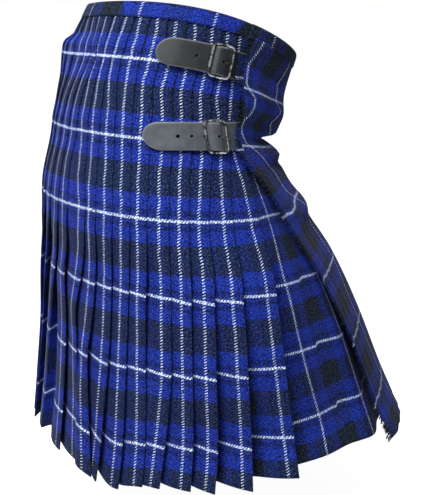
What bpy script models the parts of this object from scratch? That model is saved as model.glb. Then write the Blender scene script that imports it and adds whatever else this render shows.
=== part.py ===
"""A tartan kilt, filled out as it is when worn, with nobody inside it.

The kilt is one long length of cloth: an under-apron, a run of knife pleats round the back, and an
over-apron that crosses the front to a fringed edge on the wearer's right hip. Two leather straps come
from under that edge through buckles on the pleats. The origin is the middle of the waist; +Z is up,
the front faces -Y and the wearer's right is -X. Lengths are metres, angles are degrees turned from
the middle of the back towards the wearer's right: 0 back, 90 right hip, 180 front, 270 left hip.
"""
import math
from collections import namedtuple

import bmesh
import bpy
from mathutils import Vector

# ---- Driving sizes -------------------------------------------------------------------------------
SETT = 0.097                 # repeat of the tartan, which sets the pleats and the fold rows
DROP = 0.605                 # cloth from waist to hem
BAND_DEPTH = 0.020           # waistband, top to bottom
CLOTH = 0.0010               # kilting cloth
LAYER = 0.0014               # one folded layer to the next: the cloth and the air between
SEAM_GAP = 0.0005            # between pieces that meet

STRIPE_TO_EDGE = 0.012       # the pale stripe shows this far behind each pleat's folded edge
FACE = 0.0605                # pleat, from its hidden inner fold to its folded edge
RETURN = SETT - FACE         # and from that edge back to the next inner fold
FELL_LAP = 0.0030            # where it is stitched down, cloth tucked back under each folded edge
FELL_END = 0.340             # the pleats are stitched down above this height ...
FREE_BELOW = 0.255           # ... and hang free below this one
LEAST_SPREAD = 5.0           # degrees between a pleat's face and its return, at the least

STRAP_WIDTH = 0.035
STRAP_THICK = 0.0024
HOLE_RADIUS = 0.0022
HOLE_PITCH = 0.0165
BUCKLE_LONG = 0.030          # along the strap, outside the frame
BUCKLE_HIGH = 0.043
FRAME_RADIUS = 0.0016
BAR_RADIUS = 0.0011
PRONG_RADIUS = 0.0008

# The kilt's outside is a stack of ovals. above_hem is measured along the cloth; each oval leans by
# "tilt" (rise per metre towards the back) and dips by "saddle" at front and back.
Row = namedtuple("Row", "above_hem half_width half_depth centre_y z tilt saddle")
ROWS = (
    Row(0.0000, 0.266, 0.267, -0.012, -0.557, 0.000, -0.005),
    Row(0.0475, 0.255, 0.254, -0.007, -0.510, 0.002, -0.006),
    Row(0.1445, 0.248, 0.230, 0.003, -0.416, 0.017, -0.005),
    Row(0.2415, 0.233, 0.207, 0.019, -0.323, 0.042, -0.004),
    Row(0.3385, 0.209, 0.178, 0.038, -0.234, 0.095, -0.002),
    Row(0.4355, 0.182, 0.152, 0.042, -0.147, 0.180, 0.004),
    Row(0.5325, 0.167, 0.149, 0.026, -0.062, 0.268, 0.009),
    Row(0.6050, 0.159, 0.143, 0.000, 0.000, 0.310, 0.012),
)

# Where each pleat's pale stripe runs, from the right hip to the middle of the back, at six heights.
Stripe = namedtuple("Stripe", "waist row2 row3 row4 row5 row6")
STRIPE_HEIGHTS = (0.6050, 0.4355, 0.3385, 0.2415, 0.1445, 0.0475)
STRIPES = (
    Stripe(99.5, 108.5, 108.0, 101.0, 97.0, 95.0),
    Stripe(93.0, 99.5, 96.0, 88.5, 84.5, 82.5),
    Stripe(85.0, 91.5, 85.5, 79.0, 75.0, 73.0),
    Stripe(76.5, 82.0, 77.5, 71.5, 67.5, 66.0),
    Stripe(68.0, 73.5, 69.5, 64.5, 61.5, 58.0),
    Stripe(58.5, 64.0, 61.0, 56.0, 53.0, 52.0),
    Stripe(49.5, 54.5, 54.0, 49.5, 46.5, 44.5),
    Stripe(42.0, 46.0, 46.5, 42.5, 39.5, 37.5),
    Stripe(33.0, 38.5, 38.5, 35.5, 32.0, 31.5),
    Stripe(25.5, 31.0, 33.0, 29.0, 26.0, 26.0),
    Stripe(17.5, 23.5, 22.5, 19.5, 19.5, 19.5),
    Stripe(9.5, 16.5, 16.0, 10.0, 6.5, 6.0),
)
LEFT_PLEATS = 13             # the rest, on round to the left hip
LEFT_STEP = 8.3              # their pitch in degrees, and how unevenly they hang at the hem
LEFT_SWING = 1.3
JOIN_AFTER = 13              # pleats to the left of the join

# The under-apron beside the last pleat: its stripe, a soft crease, and the ridge beyond, each as an
# angle and a depth inside the oval, then the depth that it keeps under the over-apron. "open_to" is
# how far the last pleat's inner fold lets its free edge stand away.
Under = namedtuple("Under", "above_hem open_to stripe stripe_in crease crease_in ridge ridge_in rest_in")
UNDER_ROWS = (
    Under(0.0000, 0.070, 112.0, 0.024, 121.5, 0.022, 129.5, 0.006, 0.016),
    Under(0.0475, 0.070, 114.0, 0.027, 122.5, 0.025, 130.0, 0.007, 0.018),
    Under(0.1445, 0.066, 113.0, 0.023, 119.5, 0.020, 128.5, 0.003, 0.016),
    Under(0.2415, 0.056, 112.5, 0.011, 120.0, 0.009, 128.0, 0.002, 0.012),
    Under(0.3385, 0.030, 117.5, 0.006, 122.0, 0.006, 130.0, 0.004, 0.007),
    Under(0.4355, 0.025, 117.0, 0.004, 122.0, 0.004, 130.0, 0.004, 0.004),
    Under(0.6050, 0.025, 112.0, 0.004, 120.0, 0.004, 130.0, 0.004, 0.004),
)
UNDER_END = 241.0

# The over-apron's fringed edge, how far it stands off the oval there, and how far the rest does.
Over = namedtuple("Over", "above_hem edge lift rest_out")
OVER_ROWS = (
    Over(0.0000, 128.5, 0.020, 0.000),
    Over(0.0475, 128.0, 0.020, 0.000),
    Over(0.1445, 126.5, 0.019, 0.000),
    Over(0.2415, 123.5, 0.017, 0.000),
    Over(0.3385, 122.0, 0.009, 0.000),
    Over(0.3880, 117.5, 0.006, 0.000),
    Over(0.4300, 109.0, 0.0065, 0.000),
    Over(0.5000, 108.0, 0.0065, 0.001),
    Over(0.5640, 107.5, 0.0055, 0.001),
    Over(0.6050, 106.8, 0.002, 0.001),
)
# Heights at which every cloth wall has a row of points, so that seams and layers stay together.
LEVELS = (0.0, 0.048, 0.097, 0.145, 0.193, 0.2415, 0.275, 0.307, 0.3385, 0.372, 0.405, 0.428,
          0.447, 0.470, 0.505, 0.545, DROP - BAND_DEPTH - SEAM_GAP)
LIFT_FLAT = 9.0              # degrees that the lifted edge stays out, then how many it takes to settle
LIFT_FADE = 16.0
FOLD_FADE = 20.0             # degrees over which the large folds die away before the edge
OVER_COLUMNS = 17            # strips that each apron is divided into round its oval
UNDER_COLUMNS = 14
PAST_RIDGE = 9.0             # degrees from the under-apron's ridge to where it has gone under
FRINGE = 0.013
BAND_STEP = 6.0              # degrees between sections of the waistband

# Large folds of the over-apron: middle, reach each way, and how far out (or in) the cloth stands.
Fold = namedtuple("Fold", "name angle height wide tall out")
APRON_FOLDS = (
    Fold("bulge between the straps", 150.0, 0.500, 24.0, 0.020, 0.005),
    Fold("pinch at the lower strap", 150.0, 0.447, 26.0, 0.011, -0.011),
    Fold("bulge below the pinch", 146.0, 0.418, 20.0, 0.012, 0.004),
    Fold("dent below that", 158.0, 0.392, 16.0, 0.010, -0.003),
)

# Where each strap's buckle sits on the hip, how the strap slopes, and where its free tip reaches.
Strap = namedtuple("Strap", "name angle height slope tip root holes first_hole")
STRAPS = (
    Strap("upper", 95.6, 0.5465, 0.0, -0.080, 0.050, 3, 0.0025),
    Strap("lower", 97.4, 0.4490, 6.5, -0.090, 0.040, 4, 0.0025),
)


# ---- Shared geometry -----------------------------------------------------------------------------
def lerp(a, b, share):
    return a + (b - a) * share


def smooth(share):
    share = min(max(share, 0.0), 1.0)
    return share * share * (3.0 - 2.0 * share)


def along(rows, height, column):
    """Read one column of a table smoothly at a height, with no overshoot between its rows."""
    low = 0
    while low < len(rows) - 2 and height > rows[low + 1].above_hem:
        low += 1

    def slope(index):
        before, after = max(index - 1, 0), min(index + 1, len(rows) - 1)
        steps = []
        for start in range(before, after):
            rise = getattr(rows[start + 1], column) - getattr(rows[start], column)
            steps.append(rise / (rows[start + 1].above_hem - rows[start].above_hem))
        if len(steps) == 1:
            return steps[0]
        if steps[0] * steps[1] <= 0.0:
            return 0.0
        return 2.0 * steps[0] * steps[1] / (steps[0] + steps[1])

    start, end = rows[low], rows[low + 1]
    span = end.above_hem - start.above_hem
    t = (height - start.above_hem) / span
    value, goal = getattr(start, column), getattr(end, column)
    hold, reach = t * t * (3.0 - 2.0 * t), t * (1.0 - t)
    return lerp(value, goal, hold) + span * reach * ((1.0 - t) * slope(low) - t * slope(low + 1))


def oval(height):
    return Row(height, *(along(ROWS, height, column) for column in Row._fields[1:]))


def surface(angle, height, out=0.0):
    """The point at an angle and a height up the cloth, moved out from the kilt's outside."""
    row, turn = oval(height), math.radians(angle)
    across, back = -row.half_width * math.sin(turn), row.half_depth * math.cos(turn)
    normal = Vector((-math.sin(turn) / row.half_width, math.cos(turn) / row.half_depth)).normalized()
    back += out * normal.y
    z = row.z + row.tilt * back - row.saddle * math.cos(2.0 * turn)
    return Vector((across + out * normal.x, row.centre_y + back, z))


def degrees_for(length, angle, height):
    """The turn that covers a length round the oval near an angle."""
    return length / (surface(angle + 0.5, height) - surface(angle - 0.5, height)).length


def make_material(name, colour, roughness, metallic=0.0):
    material = bpy.data.materials.new(name)
    material.use_nodes = True
    shader = material.node_tree.nodes["Principled BSDF"]
    shader.inputs["Base Color"].default_value = (*colour, 1.0)
    shader.inputs["Roughness"].default_value = roughness
    shader.inputs["Metallic"].default_value = metallic
    return material


def make_object(name, bm, colour, roughness, metallic=0.0):
    bmesh.ops.recalc_face_normals(bm, faces=bm.faces)
    mesh = bpy.data.meshes.new(name)
    bm.to_mesh(mesh)
    bm.free()
    mesh.materials.append(make_material(name, colour, roughness, metallic))
    piece = bpy.data.objects.new(name, mesh)
    bpy.context.scene.collection.objects.link(piece)
    return piece


def skin(bm, sections, closed=False):
    """Join sections, each a closed ring of points, into one closed body."""
    rings = [[bm.verts.new(point) for point in section] for section in sections]
    pairs = list(zip(rings, rings[1:]))
    if closed:
        pairs.append((rings[-1], rings[0]))
    for lower, upper in pairs:
        for k in range(len(lower)):
            after = (k + 1) % len(lower)
            bm.faces.new((lower[k], lower[after], upper[after], upper[k]))
    return rings


def capped(name, sections, colour, roughness, metallic=0.0):
    """A closed body through sections, with a face over each end."""
    bm = bmesh.new()
    rings = skin(bm, sections)
    bm.faces.new(rings[0])
    bm.faces.new(rings[-1])
    return make_object(name, bm, colour, roughness, metallic)


def build_wall(name, levels, colour, roughness=0.9):
    """A cloth wall from levels, each a list of (outside point, inside point) along the cloth."""
    bm = bmesh.new()
    sections = [[pair[0] for pair in level] + [pair[1] for pair in reversed(level)] for level in levels]
    rings = skin(bm, sections)
    for ring in (rings[0], rings[-1]):
        last = len(ring) - 1
        for k in range(len(ring) // 2 - 1):
            bm.faces.new((ring[k], ring[k + 1], ring[last - k - 1], ring[last - k]))
    return make_object(name, bm, colour, roughness)


# ---- Pleats --------------------------------------------------------------------------------------
def stripe_angles():
    """Every pleat's stripe angle at each of STRIPE_HEIGHTS, from the right hip round to the left."""
    rows = [list(stripe) for stripe in STRIPES]
    for number in range(LEFT_PLEATS):
        uneven = LEFT_SWING * math.sin(2.4 * number)
        shares = (0.0, 0.0, 0.3, 0.7, 0.9, 1.0)
        rows.append([angle - LEFT_STEP - uneven * share for angle, share in zip(rows[-1], shares)])
    return rows


PLEATS = stripe_angles()
SEAM_BEHIND_STRIPE = FACE - STRIPE_TO_EDGE     # the over-apron starts this far past the last stripe


def at_height(angles, height):
    """Read a pleat's angles, listed from the waist down, at a height."""
    if height <= STRIPE_HEIGHTS[-1]:
        return angles[-1]
    for k in range(len(STRIPE_HEIGHTS) - 1):
        if height >= STRIPE_HEIGHTS[k + 1]:
            share = (height - STRIPE_HEIGHTS[k + 1]) / (STRIPE_HEIGHTS[k] - STRIPE_HEIGHTS[k + 1])
            return lerp(angles[k + 1], angles[k], share)
    return angles[0]


def edge_angle(number, height):
    stripe = at_height(PLEATS[number], height)
    return stripe + degrees_for(STRIPE_TO_EDGE, stripe, height)


def seam_angle(height):
    stripe = at_height(PLEATS[-1], height)
    return stripe - degrees_for(SEAM_BEHIND_STRIPE, stripe, height)


def flat(point):
    return Vector((point.x, point.y))


def turned(direction, degrees):
    """A plan direction turned anticlockwise."""
    turn = math.radians(degrees)
    return Vector((direction.x * math.cos(turn) - direction.y * math.sin(turn),
                   direction.x * math.sin(turn) + direction.y * math.cos(turn)))


def pleat_folds(face_start, edge, next_edge, height):
    """One pleat on the level's plan: both sides of its folded edge, then both of the inner fold behind.

    A free pleat's face, its return and the gap to the next edge are the sides of a triangle, so it
    stands deeper as the gap opens. In the fell the return is only a short tuck under the face."""
    back_along_face = (face_start - edge).normalized()
    gap = (next_edge - edge).length
    ahead = (next_edge - edge) / gap
    offset = (gap * gap + RETURN * RETURN - FACE * FACE) / (2.0 * gap)
    deep = math.sqrt(max(RETURN * RETURN - offset * offset, 0.0))
    open_return = ahead * offset + turned(ahead, 90.0) * deep
    spread = max(math.degrees(back_along_face.angle_signed(open_return)), LEAST_SPREAD)
    share = smooth((FELL_END - height) / (FELL_END - FREE_BELOW))
    spread = lerp(LEAST_SPREAD, spread, share)
    back_along_return = turned(back_along_face, -spread)
    under_edge = edge + turned(back_along_face, -spread / 2.0 - 90.0) * LAYER
    inner = under_edge + back_along_return * lerp(FELL_LAP, RETURN, share)
    middle = ((next_edge - inner).normalized() - back_along_return).normalized()
    return edge, under_edge, inner, inner + turned(middle, 90.0) * LAYER


def thicken(line, half):
    """Offset a plan line to both sides, with mitred corners: (outside, inside) for each point."""
    pairs = []
    for k, point in enumerate(line):
        before = line[max(k - 1, 0)]
        after = line[min(k + 1, len(line) - 1)]
        first = (point - before).normalized() if k > 0 else (after - point).normalized()
        second = (after - point).normalized() if k < len(line) - 1 else first
        sides = [Vector((-run.y, run.x)) for run in (first, second)]
        mitre = (sides[0] + sides[1]).normalized()
        reach = half / max(mitre.dot(sides[0]), 0.35)
        pairs.append((point + mitre * reach, point - mitre * reach))
    return pairs


def pleat_line(height):
    """The pleats' plan line, from the left hip's seam to the last inner fold, and the line's next point."""
    seam = seam_angle(height)
    last_edge = edge_angle(len(PLEATS) - 1, height)
    start = seam + degrees_for(SEAM_GAP, seam, height)
    line = [flat(surface(lerp(start, last_edge, k / 3), height)) for k in range(3)]
    for number in reversed(range(len(PLEATS))):
        here = edge_angle(number, height)
        if number:
            ahead = edge_angle(number - 1, height)
        else:
            ahead = here + degrees_for(along(UNDER_ROWS, height, "open_to"), here, height)
        edge, next_edge = flat(surface(here, height)), flat(surface(ahead, height))
        line.extend(pleat_folds(line[-1], edge, next_edge, height))
    inner, under_inner = line[-2:]
    return line[:-1], lerp(inner, under_inner, 1.5)


def lift_plan(point, height):
    """Put a plan point back on its leaning level."""
    row = oval(height)
    back = point.y - row.centre_y
    turn = math.atan2(-point.x / row.half_width, back / row.half_depth)
    return Vector((point.x, point.y, row.z + row.tilt * back - row.saddle * math.cos(2.0 * turn)))


def build_pleats(colour):
    """Two lengths of cloth, which a kilt's long run is pieced from, with the join at an inner fold."""
    join = 3 + 4 * JOIN_AFTER - 1
    sides = {"pleats_left": [], "pleats_right": []}
    for height in LEVELS:
        line, _ = pleat_line(height)
        for levels, run in zip(sides.values(), (line[:join], line[join:])):
            pairs = thicken(run, CLOTH / 2)
            levels.append([(lift_plan(a, height), lift_plan(b, height)) for a, b in pairs])
    for name, levels in sides.items():
        build_wall(name, levels, colour)


# ---- Aprons, fringe and waistband ----------------------------------------------------------------
def fold_out(angle, height):
    total = 0.0
    for fold in APRON_FOLDS:
        side, up = (angle - fold.angle) / fold.wide, (height - fold.height) / fold.tall
        total += fold.out * math.exp(-side * side - up * up)
    return total


def pressed_in(angle, height):
    """The large folds' share of the stand-off, which fades out towards the fringed edge."""
    past = angle - along(OVER_ROWS, height, "edge") - LIFT_FLAT
    return fold_out(angle, height) * smooth(past / FOLD_FADE + 1.0)


def over_out(angle, height):
    """How far the over-apron stands off the oval: lifted along its edge, then folded."""
    past = angle - along(OVER_ROWS, height, "edge") - LIFT_FLAT
    rest = along(OVER_ROWS, height, "rest_out")
    lift = along(OVER_ROWS, height, "lift")
    return lerp(lift, rest, smooth(past / LIFT_FADE)) + pressed_in(angle, height)


def cloth_pair(angle, height, out):
    half = CLOTH / 2
    return surface(angle, height, out + half), surface(angle, height, out - half)


def build_over_apron(colour):
    levels = []
    for height in LEVELS:
        edge = along(OVER_ROWS, height, "edge")
        start = edge + degrees_for(FRINGE + SEAM_GAP, edge, height)
        end = 360.0 + seam_angle(height) - degrees_for(SEAM_GAP, seam_angle(height), height)
        spots = [lerp(start, end, k / OVER_COLUMNS) for k in range(OVER_COLUMNS + 1)]
        levels.append([cloth_pair(spot, height, over_out(spot, height)) for spot in spots])
    return build_wall("over_apron", levels, colour)


def build_fringe(colour):
    levels = []
    for height in LEVELS:
        edge = along(OVER_ROWS, height, "edge")
        spots = [edge, edge + degrees_for(FRINGE, edge, height)]
        levels.append([cloth_pair(spot, height, over_out(spot, height)) for spot in spots])
    return build_wall("apron_fringe", levels, colour)


def build_under_apron(colour):
    levels = []
    for height in LEVELS:
        row = Under(height, *(along(UNDER_ROWS, height, column) for column in Under._fields[1:]))
        _, start = pleat_line(height)
        line = [start]
        spots = [(row.stripe, row.stripe_in), (row.crease, row.crease_in), (row.ridge, row.ridge_in)]
        for k in range(UNDER_COLUMNS + 1):
            spots.append((lerp(row.ridge + PAST_RIDGE, UNDER_END, k / UNDER_COLUMNS), row.rest_in))
        for angle, depth in spots:
            line.append(flat(surface(angle, height, min(pressed_in(angle, height), 0.0) - depth)))
        pairs = thicken(line, CLOTH / 2)
        levels.append([(lift_plan(a, height), lift_plan(b, height)) for a, b in pairs])
    return build_wall("under_apron", levels, colour)


# The waistband follows the wrap: under-apron, then back round the pleats, then across the front, with
# its middle this far out from the oval and this thick to each side.
Band = namedtuple("Band", "angle out half")
BAND_PATH = (
    Band(241.0, -0.0040, 0.0012),
    Band(125.0, -0.0040, 0.0012),
    Band(112.0, -0.0036, 0.0014),
    Band(101.0, -0.0014, 0.0022),
    Band(-100.0, -0.0014, 0.0022),
    Band(-114.0, -0.0004, 0.0016),
    Band(-125.0, 0.0012, 0.0012),
    Band(-240.0, 0.0012, 0.0012),
    Band(-253.2, 0.0022, 0.0012),
)


def build_waistband(colour):
    low, high = DROP - BAND_DEPTH, DROP
    sections = []
    for start, end in zip(BAND_PATH, BAND_PATH[1:]):
        count = max(round(abs(end.angle - start.angle) / BAND_STEP), 2)
        final = end is BAND_PATH[-1]
        for k in range(count + 1 if final else count):
            share = k / count
            angle = lerp(start.angle, end.angle, share)
            out, half = lerp(start.out, end.out, share), lerp(start.half, end.half, share)
            corners = ((low, out - half), (low, out + half), (high, out + half), (high, out - half))
            sections.append([surface(angle, height, depth) for height, depth in corners])
    return capped("waistband", sections, colour, 0.9)


# ---- Straps and buckles --------------------------------------------------------------------------
TAB_THICK = 0.0021           # two plies of thinner leather
TAB_INSET = 0.0015           # its sides, inside the strap's
TAB_WALL = 0.0010            # one ply, where it loops round the centre bar
TIP_LENGTH = 0.022
REST = 0.0003                # the clearance that stacked pieces keep
HUG = 0.0005                 # and a strap, over the cloth's bulges
ON_CLOTH = REST + HUG + STRAP_THICK / 2
ON_TAB = ON_CLOTH + TAB_THICK + REST
SIDE_BAR = ON_TAB + STRAP_THICK / 2 + REST + FRAME_RADIUS     # the frame's end bars lie over the strap
CENTRE_BAR = 0.0044
EYE = BAR_RADIUS + REST + 2.0 * PRONG_RADIUS                  # the loops round the centre bar
OVER_BAR = CENTRE_BAR + EYE + REST + STRAP_THICK / 2
BAR_AHEAD = BUCKLE_LONG / 2 - FRAME_RADIUS                    # end bars, from the centre bar
FRAME_CORNER = 0.005
CUT_SIDES = 12


def on_hip(strap, ahead, up, out):
    """Place a point by its distance along the strap, across it and off the cloth."""
    slope, reach = math.radians(strap.slope), STRAP_WIDTH / 2
    height = strap.height + ahead * math.sin(slope)
    angle = strap.angle + degrees_for(ahead * math.cos(slope), strap.angle, strap.height)
    lean = degrees_for(reach * math.sin(slope), strap.angle, strap.height)
    off = out + CLOTH / 2
    low = surface(angle + lean, height - reach * math.cos(slope), off)
    high = surface(angle - lean, height + reach * math.cos(slope), off)
    return (low + high) / 2 + (high - low).normalized() * up


def round_turns(count):
    return [2.0 * math.pi * k / count for k in range(count)]


def combine(piece, other, operation):
    """Cut another body from a piece or join it on, leaving the other out of the build."""
    other.hide_render = True
    other.display_type = "WIRE"
    modifier = piece.modifiers.new(operation.lower(), "BOOLEAN")
    modifier.operation = operation
    modifier.object = other


def strap_course(strap):
    """The strap's middle as (ahead, out): tip, over its tab, through the buckle, down to its root."""
    course = [(strap.tip + TIP_LENGTH * share, ON_CLOTH) for share in (0.0, 0.05, 0.15, 0.32, 0.6, 1.0)]
    humped = (
        (-0.057, ON_CLOTH), (-0.0475, ON_TAB), (-0.038, ON_TAB), (-0.030, ON_TAB), (-0.022, ON_TAB),
        (-BAR_AHEAD, ON_TAB), (-0.009, ON_TAB + 0.0008), (-0.005, OVER_BAR - 0.0008),
        (-0.0025, OVER_BAR), (0.0, OVER_BAR + 0.0002), (0.0025, OVER_BAR), (0.005, OVER_BAR - 0.0008),
        (0.009, ON_TAB + 0.0008), (BAR_AHEAD, ON_TAB), (0.022, ON_CLOTH + 0.0004), (0.032, ON_CLOTH),
    )
    course += [place for place in humped if place[0] > course[-1][0]]
    return course + [(strap.root, ON_CLOTH)]


def half_width_at(strap, ahead):
    """Half the strap's width: full along its run, drawn in to a round tip."""
    short = 1.0 - min((ahead - strap.tip) / TIP_LENGTH, 1.0)
    bluntness = 0.20
    return STRAP_WIDTH / 2 * max(math.sqrt(1.0 - short * short), bluntness)


def hole_cutter(strap, ahead):
    below, above = -0.0002, 0.014
    ends = [[on_hip(strap, ahead + HOLE_RADIUS * math.cos(turn), HOLE_RADIUS * math.sin(turn), out)
             for turn in round_turns(CUT_SIDES)] for out in (below, above)]
    return capped("hole_cutter", ends, (1.0, 0.0, 0.0), 0.5)


def build_strap(strap, colour):
    course = strap_course(strap)
    sections = []
    for k, (ahead, out) in enumerate(course):
        before, after = course[max(k - 1, 0)], course[min(k + 1, len(course) - 1)]
        run = Vector((after[0] - before[0], after[1] - before[1])).normalized()
        lean = Vector((-run.y, run.x)) * STRAP_THICK / 2
        wide = half_width_at(strap, ahead)
        corners = ((-wide, -1), (wide, -1), (wide, 1), (-wide, 1))
        sections.append([on_hip(strap, ahead + lean.x * side, up, out + lean.y * side)
                         for up, side in corners])
    piece = capped("strap_" + strap.name, sections, colour, 0.45)
    for number in range(strap.holes):
        combine(piece, hole_cutter(strap, strap.first_hole - number * HOLE_PITCH), "DIFFERENCE")
    return piece


def bore_cutter(strap, radius):
    """The bore through the tab's loop, which the centre bar lies in."""
    past = STRAP_WIDTH / 2
    ends = [[on_hip(strap, radius * math.cos(turn), up, CENTRE_BAR + radius * math.sin(turn))
             for turn in round_turns(CUT_SIDES)] for up in (-past, past)]
    return capped("bore_cutter", ends, (1.0, 0.0, 0.0), 0.5)


def slot_cutter(strap):
    """The gap in the middle of the tab's loop, where the prong turns on the bar."""
    wide, near, far, below, above = 0.0022, -0.0065, 0.006, -0.001, 0.012
    corners = ((near, -wide), (far, -wide), (far, wide), (near, wide))
    ends = [[on_hip(strap, ahead, up, out) for ahead, up in corners] for out in (below, above)]
    return capped("slot_cutter", ends, (1.0, 0.0, 0.0), 0.5)


def build_tab(strap, colour):
    """A folded leather tab: two plies under the strap, looped round the buckle's centre bar."""
    under, over = REST + HUG, REST + HUG + TAB_THICK
    plies = (-0.045, -0.038, -0.030, -0.022, -BAR_AHEAD, -0.008)
    bore = BAR_RADIUS + REST
    profile = [(ahead, over) for ahead in plies]
    for k in range(9):
        turn = math.radians(150.0 - 300.0 * k / 8)
        profile.append(((bore + TAB_WALL) * math.cos(turn), CENTRE_BAR + (bore + TAB_WALL) * math.sin(turn)))
    profile.append((-0.0035, under))
    profile += [(ahead, under) for ahead in reversed(plies)]
    wide = STRAP_WIDTH / 2 - TAB_INSET
    sections = [[on_hip(strap, ahead, up, out) for ahead, out in profile] for up in (-wide, wide)]
    piece = capped("tab_" + strap.name, sections, colour, 0.5)
    combine(piece, bore_cutter(strap, bore), "DIFFERENCE")
    combine(piece, slot_cutter(strap), "DIFFERENCE")
    return piece


def round_bar(strap, course, radii, closed=False):
    """Rings of points round a wire that runs through (ahead, up, out) places on the hip."""
    points = [Vector(point) for point in course]
    last = len(points) - 1
    side = Vector((0.0, 0.0, 1.0))
    sections = []
    for k, point in enumerate(points):
        before = points[k - 1] if closed or k > 0 else point
        after = points[(k + 1) % len(points)] if closed or k < last else point
        run = (after - before).normalized()
        side = (side - run * side.dot(run)).normalized()
        rise = run.cross(side)
        sections.append([on_hip(strap, *(point + (side * math.cos(turn) + rise * math.sin(turn)) * radii[k]))
                         for turn in round_turns(8)])
    return sections


def build_frame(strap, colour):
    """The buckle's frame: a rounded rectangle whose long rails dip to carry the centre bar."""
    half_high = BUCKLE_HIGH / 2 - FRAME_RADIUS
    quarter = []
    for k in range(4):
        turn = math.radians(30.0 * k)
        quarter.append((BAR_AHEAD - FRAME_CORNER * (1.0 - math.cos(turn)),
                        half_high - FRAME_CORNER * (1.0 - math.sin(turn))))
    loop = quarter + [(0.004, half_high), (0.0, half_high), (-0.004, half_high)]
    loop += [(-ahead, up) for ahead, up in reversed(quarter)]
    loop += [(-ahead, -up) for ahead, up in loop]
    course = []
    for ahead, up in loop:
        dip = smooth(abs(ahead) / (BAR_AHEAD - FRAME_CORNER))
        course.append((ahead, up, lerp(CENTRE_BAR + BAR_RADIUS / 2, SIDE_BAR, dip)))
    bm = bmesh.new()
    skin(bm, round_bar(strap, course, [FRAME_RADIUS] * len(course), closed=True), closed=True)
    frame = make_object("buckle_frame_" + strap.name, bm, colour, 0.18, 1.0)
    bar_course = [(0.0, up, CENTRE_BAR) for up in (-half_high, 0.0, half_high)]
    bar = capped("centre_bar", round_bar(strap, bar_course, [BAR_RADIUS] * 3), colour, 0.18, 1.0)
    combine(frame, bar, "UNION")
    return frame


def build_prong(strap, colour):
    """The prong: an eye round the centre bar, up through the strap's hole, its tip on the front bar."""
    eye = BAR_RADIUS + REST + PRONG_RADIUS
    course = []
    for k in range(9):
        turn = math.radians(75.0 + 290.0 * k / 8)
        course.append((eye * math.cos(turn), CENTRE_BAR + eye * math.sin(turn)))
    over = OVER_BAR + STRAP_THICK / 2 + REST + PRONG_RADIUS
    rest = SIDE_BAR + FRAME_RADIUS + REST + PRONG_RADIUS
    course += [(eye + 0.0004, CENTRE_BAR + eye), (eye + 0.0005, OVER_BAR), (0.0032, over - 0.0002),
               (0.0048, over + 0.0002), (0.009, over), (BAR_AHEAD - 0.001, rest),
               (BAR_AHEAD + 0.0022, rest - 0.0006)]
    radii = [PRONG_RADIUS] * (len(course) - 1) + [PRONG_RADIUS * 0.6]
    sections = round_bar(strap, [(ahead, 0.0, out) for ahead, out in course], radii)
    return capped("buckle_prong_" + strap.name, sections, colour, 0.18, 1.0)


# ---- Build ---------------------------------------------------------------------------------------
def build():
    for old in list(bpy.data.objects):
        bpy.data.objects.remove(old, do_unlink=True)
    royal, navy, charcoal = (0.02, 0.035, 0.42), (0.012, 0.02, 0.16), (0.02, 0.03, 0.05)
    leather, chrome = (0.015, 0.015, 0.017), (0.75, 0.75, 0.77)
    build_waistband(navy)
    build_pleats(royal)
    build_under_apron(navy)
    build_over_apron(royal)
    build_fringe(charcoal)
    for strap in STRAPS:
        build_strap(strap, leather)
        build_tab(strap, leather)
        build_frame(strap, chrome)
        build_prong(strap, chrome)


build()
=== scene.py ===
"""A tartan kilt, filled out as it is when worn: pleated cloth, two aprons, a waistband and two
buckled leather straps. Lengths are metres. Angles are degrees turned from the middle of the back
towards the wearer's right hip: 0 back, 90 right hip, 180 front, 270 left hip."""
import math
from functools import partial

import bpy
import numpy as np
from mathutils import Matrix, Vector


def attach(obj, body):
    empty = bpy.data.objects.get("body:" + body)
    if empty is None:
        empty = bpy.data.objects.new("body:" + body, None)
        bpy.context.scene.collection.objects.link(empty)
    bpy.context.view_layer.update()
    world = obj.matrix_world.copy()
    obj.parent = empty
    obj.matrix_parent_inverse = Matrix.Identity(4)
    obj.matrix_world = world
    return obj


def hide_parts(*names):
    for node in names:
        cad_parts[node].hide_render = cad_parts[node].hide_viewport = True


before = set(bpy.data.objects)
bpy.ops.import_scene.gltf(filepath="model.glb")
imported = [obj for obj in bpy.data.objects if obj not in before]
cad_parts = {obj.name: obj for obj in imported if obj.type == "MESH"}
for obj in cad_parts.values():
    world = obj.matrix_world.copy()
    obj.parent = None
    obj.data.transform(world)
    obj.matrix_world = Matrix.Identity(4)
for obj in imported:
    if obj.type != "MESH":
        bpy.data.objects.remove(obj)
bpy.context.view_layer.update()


# ---- Studio --------------------------------------------------------------------------------------
# A plain pale sweep under soft lights, and a camera level with the waist that looks slightly down
# at the wearer's right hip, from 1.36 m away.
CAMERA_AT = Vector((-1.3153, 0.3437, 0.031))
CAMERA_HEADING, CAMERA_DOWN, CAMERA_ROLL = math.radians(74.25), math.radians(14.6), math.radians(-2.48)
CAMERA_LENS, CAMERA_SENSOR = 69.82, 36.0
KILT_MIDDLE = Vector((0.0, 0.0, -0.28))
FLOOR_Z, FLOOR_HALF = -0.7, 9.0
WHITE = (1.0, 1.0, 1.0, 1.0)


def add_object(name, data):
    """Put a mesh, a light or a camera into the scene."""
    thing = bpy.data.objects.new(name, data)
    bpy.context.scene.collection.objects.link(thing)
    return thing


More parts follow.
